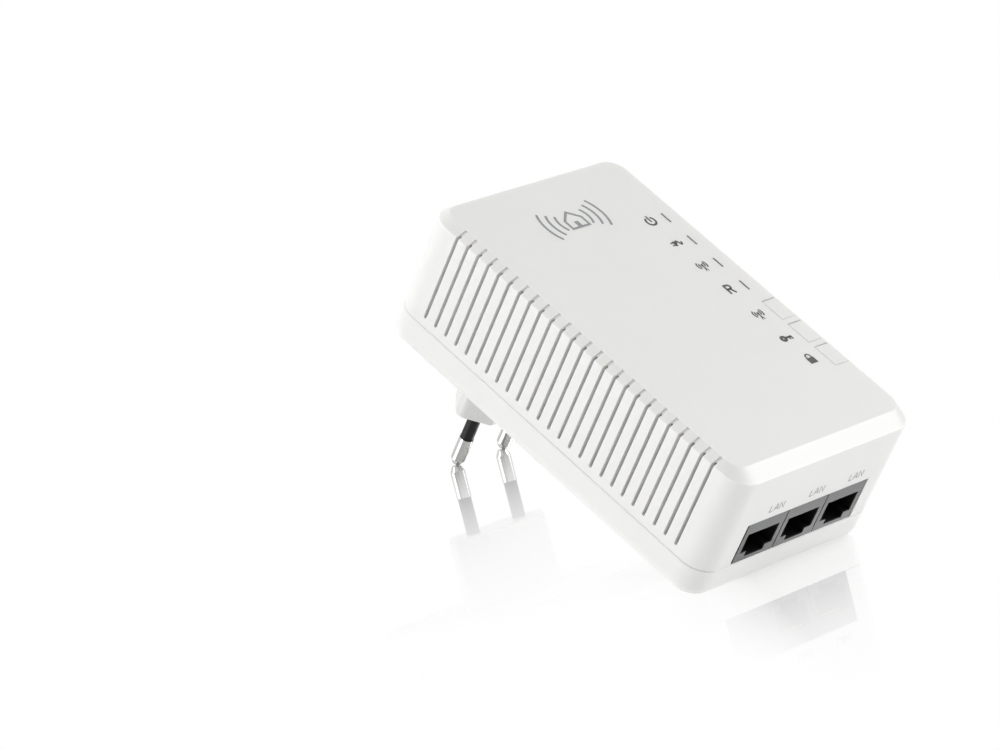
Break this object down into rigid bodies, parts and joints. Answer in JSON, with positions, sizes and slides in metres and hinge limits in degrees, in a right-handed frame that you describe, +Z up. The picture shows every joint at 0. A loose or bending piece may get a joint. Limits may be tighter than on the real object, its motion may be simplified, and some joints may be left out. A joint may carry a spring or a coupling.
{
  "type": "powerline network adapter",
  "caption": "Plug-in powerline network adapter: white vented housing on a raised two-pin mains plug, with status light slits, sprung side keys and network jacks in its end face.",
  "frame": {"origin": "midway between the two mains pins, on the end face of the plug nose", "axes": "+Z up along the long side with the network jacks at the low end, -Y out of the front face, +Y along the pins into the wall, +X to the right seen from the front"},
  "size_m": [0.0706, 0.0777, 0.1153],
  "materials": {
    "antenna_laminate": "printed laminate",
    "black_anodised": "black anodised",
    "black_lead": "thin coaxial lead",
    "black_plastic": "moulded spacer with tinned pins",
    "black_sleeve": "smooth insulating sleeve",
    "blue_epoxy": "dipped epoxy",
    "board_laminate": "green solder mask",
    "can_sleeve": "shrink sleeve over aluminium",
    "chip_epoxy": "moulded epoxy",
    "clear_film": "polyester film",
    "clear_guide": "smoked clear acrylic",
    "copper_wire": "enamelled copper",
    "ferrite": "sintered ferrite",
    "fuse_glass": "sleeved fuse",
    "gold_contacts": "gold flash",
    "jack_plastic": "dark grey moulding",
    "key_cap": "satin moulding",
    "label_film": "blank printed film",
    "lamp_body": "moulded lamp",
    "nickel_brass": "bright nickel plate",
    "plunger_plastic": "moulded",
    "switch_case": "moulded",
    "tinned_steel": "tinned",
    "white_abs": "fine satin moulding",
    "white_nose": "satin moulding",
    "yellow_case": "potted case",
    "yellow_tape": "wound polyester tape",
    "zinc_steel": "zinc plated"
  },
  "bodies": {
    "adapter": {"antenna_lead_left": "black_lead", "antenna_lead_right": "black_lead", "antenna_left": "antenna_laminate", "antenna_right": "antenna_laminate", "back_shell": "white_abs", "board_header": "black_plastic", "bridge_rectifier": "chip_epoxy", "bulk_capacitor": "can_sleeve", "choke_core": "ferrite", "choke_windings": "copper_wire", "coupling_transformer": "chip_epoxy", "flash_chip": "chip_epoxy", "front_cover": "white_abs", "fuse": "fuse_glass", "heatsink": "black_anodised", "housing_screws": "zinc_steel", "insulating_sheet": "clear_film", "lan_contacts_1": "gold_contacts", "lan_contacts_2": "gold_contacts", "lan_contacts_3": "gold_contacts", "lan_jack_1": "jack_plastic", "lan_jack_2": "jack_plastic", "lan_jack_3": "jack_plastic", "lan_magnetics": "chip_epoxy", "light_guide": "clear_guide", "main_board": "board_laminate", "main_board_screws": "zinc_steel", "memory_chip": "chip_epoxy", "output_capacitors": "can_sleeve", "pin_left": "nickel_brass", "pin_right": "nickel_brass", "pin_sleeve_left": "black_sleeve", "pin_sleeve_right": "black_sleeve", "plug_nose": "white_nose", "power_board": "board_laminate", "power_board_screws": "zinc_steel", "power_chip": "chip_epoxy", "rating_label": "label_film", "status_lamps": "lamp_body", "switch_lock": "switch_case", "switch_pair": "switch_case", "switch_wifi": "switch_case", "system_chip": "chip_epoxy", "transformer_core": "ferrite", "transformer_winding": "yellow_tape", "varistor": "blue_epoxy", "wifi_chip": "chip_epoxy", "wifi_shield": "tinned_steel", "x_capacitor": "yellow_case"},
    "wifi_key": {"key_wifi": "key_cap", "plunger_wifi": "plunger_plastic"},
    "pair_key": {"key_pair": "key_cap", "plunger_pair": "plunger_plastic"},
    "lock_key": {"key_lock": "key_cap", "plunger_lock": "plunger_plastic"}
  },
  "joints": [
    {"name": "wifi_key_press", "type": "slide", "parent": "adapter", "child": "wifi_key", "axis": [0, 1, 0], "range_m": [0, 0.0006], "stiffness_N_per_m": 1500, "springref_m": -0.0002},
    {"name": "pair_key_press", "type": "slide", "parent": "adapter", "child": "pair_key", "axis": [0, 1, 0], "range_m": [0, 0.0006], "stiffness_N_per_m": 1500, "springref_m": -0.0002},
    {"name": "lock_key_press", "type": "slide", "parent": "adapter", "child": "lock_key", "axis": [0, 1, 0], "range_m": [0, 0.0006], "stiffness_N_per_m": 1500, "springref_m": -0.0002}
  ]
}
